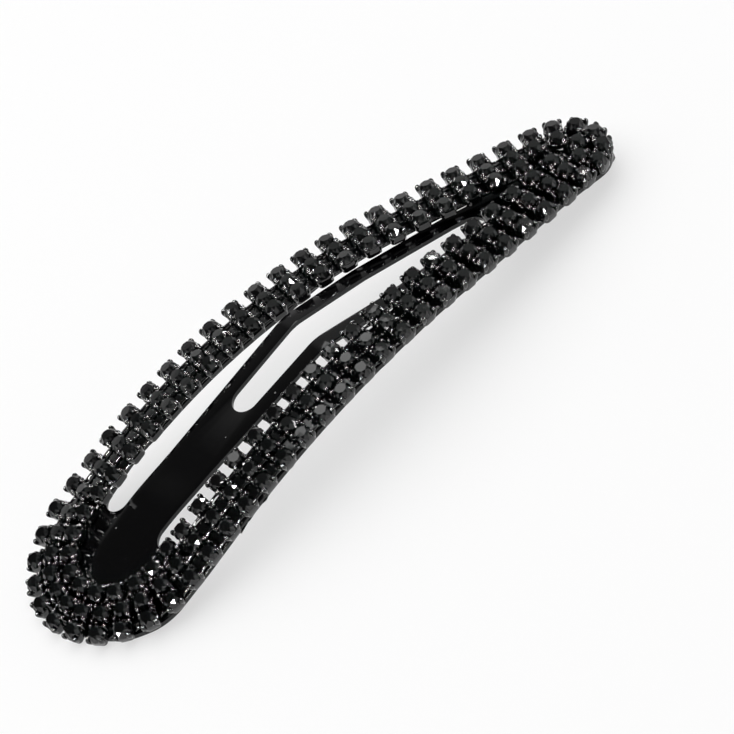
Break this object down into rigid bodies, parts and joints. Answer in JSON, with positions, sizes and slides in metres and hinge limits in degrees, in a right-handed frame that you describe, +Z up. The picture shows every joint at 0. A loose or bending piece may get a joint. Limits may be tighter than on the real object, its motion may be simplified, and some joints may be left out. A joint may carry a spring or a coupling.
{
  "type": "snap hair clip",
  "caption": "Arched leaf-shaped snap barrette: black spring-steel frame with a flexing forked tongue under it and rows of claw-set jet rhinestones on top.",
  "frame": {"origin": "bottom centre of the bounding box: midway along the clip, on the centre line, at the level it rests on", "axes": "+X from the wide tail to the nose where the clip opens, +Y towards the left arm, +Z up through the stones"},
  "size_m": [0.0826, 0.025, 0.0107],
  "materials": {
    "sheet_enamel": "high gloss enamel",
    "cup_metal": "gloss black plating",
    "link_metal": "gloss black plating",
    "jet_stone": "polished opaque jet glass"
  },
  "bodies": {
    "frame": {"cups_inner_left": "cup_metal", "cups_inner_right": "cup_metal", "cups_inner_tail": "cup_metal", "cups_middle_left": "cup_metal", "cups_middle_nose": "cup_metal", "cups_middle_right": "cup_metal", "cups_middle_tail": "cup_metal", "cups_outer_left": "cup_metal", "cups_outer_nose": "cup_metal", "cups_outer_right": "cup_metal", "cups_outer_tail": "cup_metal", "links_inner_left": "link_metal", "links_inner_right": "link_metal", "links_inner_tail": "link_metal", "links_middle_left": "link_metal", "links_middle_nose": "link_metal", "links_middle_right": "link_metal", "links_middle_tail": "link_metal", "links_outer_left": "link_metal", "links_outer_nose": "link_metal", "links_outer_right": "link_metal", "links_outer_tail": "link_metal", "spring_frame": "sheet_enamel", "stones_inner_left": "jet_stone", "stones_inner_right": "jet_stone", "stones_inner_tail": "jet_stone", "stones_middle_left": "jet_stone", "stones_middle_nose": "jet_stone", "stones_middle_right": "jet_stone", "stones_middle_tail": "jet_stone", "stones_outer_left": "jet_stone", "stones_outer_nose": "jet_stone", "stones_outer_right": "jet_stone", "stones_outer_tail": "jet_stone"},
    "tongue": {"spring_tongue": "sheet_enamel"}
  },
  "joints": [
    {"name": "tongue_flex", "type": "hinge", "parent": "frame", "child": "tongue", "pos_m": [-0.02579, 0, 0.00425], "axis": [0, 1, 0], "range_deg": [0, 25], "stiffness_Nm_per_rad": 0.5, "springref_deg": -2.86}
  ]
}
